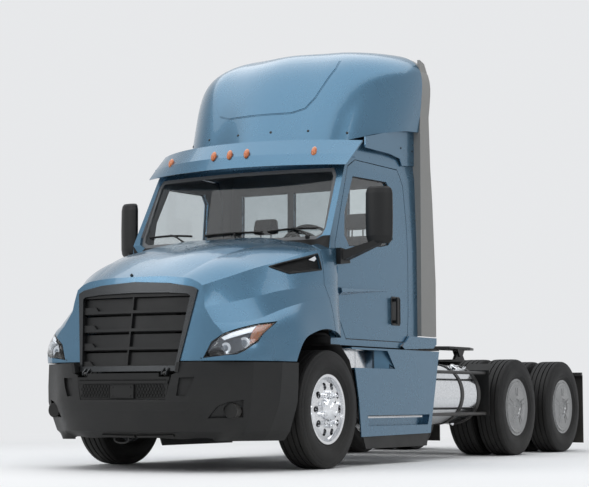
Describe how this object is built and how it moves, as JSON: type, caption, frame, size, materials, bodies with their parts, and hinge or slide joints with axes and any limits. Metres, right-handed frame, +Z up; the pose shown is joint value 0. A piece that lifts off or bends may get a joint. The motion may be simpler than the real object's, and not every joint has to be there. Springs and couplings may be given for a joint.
{
  "type": "semi truck tractor unit",
  "caption": "Day-cab highway tractor with tilting hood, opening doors, steered front wheels, twin drive wheels and a tilting coupling plate.",
  "frame": {"origin": "on the ground under the middle of the vehicle's bounding box", "axes": "+Z up, -Y towards the front, +X towards the vehicle's left"},
  "size_m": [2.9654, 7.38, 3.9599],
  "materials": {
    "paint": "steel-blue metallic",
    "glass": "lightly tinted",
    "trim_plastic": "matte black",
    "bumper_plastic": "grained dark grey",
    "grey_satin": "satin grey",
    "seat_fabric": "woven",
    "amber_lens": "clear amber",
    "red_lens": "clear red",
    "clear_lens": "clear",
    "frame_black": "satin black",
    "cast_metal": "as cast",
    "aluminium": "polished",
    "polished_wheel": "mirror polished",
    "wheel_cover": "satin",
    "seal_rubber": "matte grey",
    "flap_rubber": "matte",
    "tyre": "matte"
  },
  "bodies": {
    "chassis": {"cab_shell": "paint", "cab_glass": "glass", "screen_seal": "seal_rubber", "cowl_sides": "paint", "dashboard": "trim_plastic", "seats": "seat_fabric", "sun_visor": "paint", "marker_lamps": "amber_lens", "roof_fairing": "paint", "side_extenders": "grey_satin", "bumper": "bumper_plastic", "bumper_mesh": "trim_plastic", "fog_lamps": "clear_lens", "frame_rails": "frame_black", "crossmembers": "frame_black", "front_axle": "frame_black", "suspension": "frame_black", "rear_axles": "frame_black", "engine": "cast_metal", "side_skirts": "paint", "skirt_valances": "flap_rubber", "steps": "aluminium", "fuel_tanks": "aluminium", "tank_brackets": "frame_black", "quarter_fenders": "trim_plastic", "mudflaps": "flap_rubber", "flap_hangers": "frame_black", "tail_lamps": "red_lens", "coupler_base": "frame_black", "deck_plate": "aluminium"},
    "hood": {"hood_shell": "paint", "hood_vents": "trim_plastic", "headlamps": "clear_lens", "grille_surround": "grey_satin", "grille_bars": "trim_plastic"},
    "coupler": {"coupler_plate": "cast_metal"},
    "tie_rod": {"tie_rod": "frame_black"},
    "door_left": {"door_left_panel": "paint", "door_left_glass": "glass", "door_left_handle": "trim_plastic", "mirror_left": "trim_plastic"},
    "knuckle_left": {"knuckle_left": "frame_black"},
    "front_wheel_left": {"tyre_front_left": "tyre", "wheel_front_left": "polished_wheel"},
    "mid_wheels_left": {"tyres_mid_left": "tyre", "wheels_mid_left": "wheel_cover"},
    "rear_wheels_left": {"tyres_rear_left": "tyre", "wheels_rear_left": "wheel_cover"},
    "door_right": {"door_right_panel": "paint", "door_right_glass": "glass", "door_right_handle": "trim_plastic", "mirror_right": "trim_plastic"},
    "knuckle_right": {"knuckle_right": "frame_black"},
    "front_wheel_right": {"tyre_front_right": "tyre", "wheel_front_right": "polished_wheel"},
    "mid_wheels_right": {"tyres_mid_right": "tyre", "wheels_mid_right": "wheel_cover"},
    "rear_wheels_right": {"tyres_rear_right": "tyre", "wheels_rear_right": "wheel_cover"}
  },
  "joints": [
    {"name": "hood_tilt", "type": "hinge", "parent": "chassis", "child": "hood", "pos_m": [0, -3.638, 0.803], "axis": [1, 0, 0], "range_deg": [0, 60]},
    {"name": "coupler_pitch", "type": "hinge", "parent": "chassis", "child": "coupler", "pos_m": [0, 2.03, 1.085], "axis": [1, 0, 0], "range_deg": [-12, 12]},
    {"name": "door_left_swing", "type": "hinge", "parent": "chassis", "child": "door_left", "pos_m": [1.085, -1.97, 1.9], "axis": [0, 0, -1], "range_deg": [0, 65]},
    {"name": "steer_left", "type": "hinge", "parent": "chassis", "child": "knuckle_left", "pos_m": [0.85, -2.27, 0.508], "axis": [0, 0, 1], "range_deg": [-40, 40]},
    {"name": "front_wheel_left_spin", "type": "hinge", "parent": "knuckle_left", "child": "front_wheel_left", "pos_m": [1.04, -2.27, 0.508], "axis": [1, 0, 0], "continuous": true},
    {"name": "mid_wheels_left_spin", "type": "hinge", "parent": "chassis", "child": "mid_wheels_left", "pos_m": [0.915, 1.76, 0.508], "axis": [1, 0, 0], "continuous": true},
    {"name": "rear_wheels_left_spin", "type": "hinge", "parent": "chassis", "child": "rear_wheels_left", "pos_m": [0.915, 3.08, 0.508], "axis": [1, 0, 0], "continuous": true},
    {"name": "door_right_swing", "type": "hinge", "parent": "chassis", "child": "door_right", "pos_m": [-1.085, -1.97, 1.9], "axis": [0, 0, 1], "range_deg": [0, 65]},
    {"name": "steer_right", "type": "hinge", "parent": "chassis", "child": "knuckle_right", "pos_m": [-0.85, -2.27, 0.508], "axis": [0, 0, 1], "range_deg": [-40, 40]},
    {"name": "front_wheel_right_spin", "type": "hinge", "parent": "knuckle_right", "child": "front_wheel_right", "pos_m": [-1.04, -2.27, 0.508], "axis": [1, 0, 0], "continuous": true},
    {"name": "mid_wheels_right_spin", "type": "hinge", "parent": "chassis", "child": "mid_wheels_right", "pos_m": [-0.915, 1.76, 0.508], "axis": [1, 0, 0], "continuous": true},
    {"name": "rear_wheels_right_spin", "type": "hinge", "parent": "chassis", "child": "rear_wheels_right", "pos_m": [-0.915, 3.08, 0.508], "axis": [1, 0, 0], "continuous": true},
    {"name": "tie_rod_swing", "type": "hinge", "parent": "knuckle_left", "child": "tie_rod", "pos_m": [0.84, -2.045, 0.35], "axis": [0, 0, 1], "range_deg": [-40, 40]}
  ],
  "couplings": [
    {"joint": "steer_right", "follows": "steer_left", "ratio": 1},
    {"joint": "tie_rod_swing", "follows": "steer_left", "ratio": -1}
  ]
}
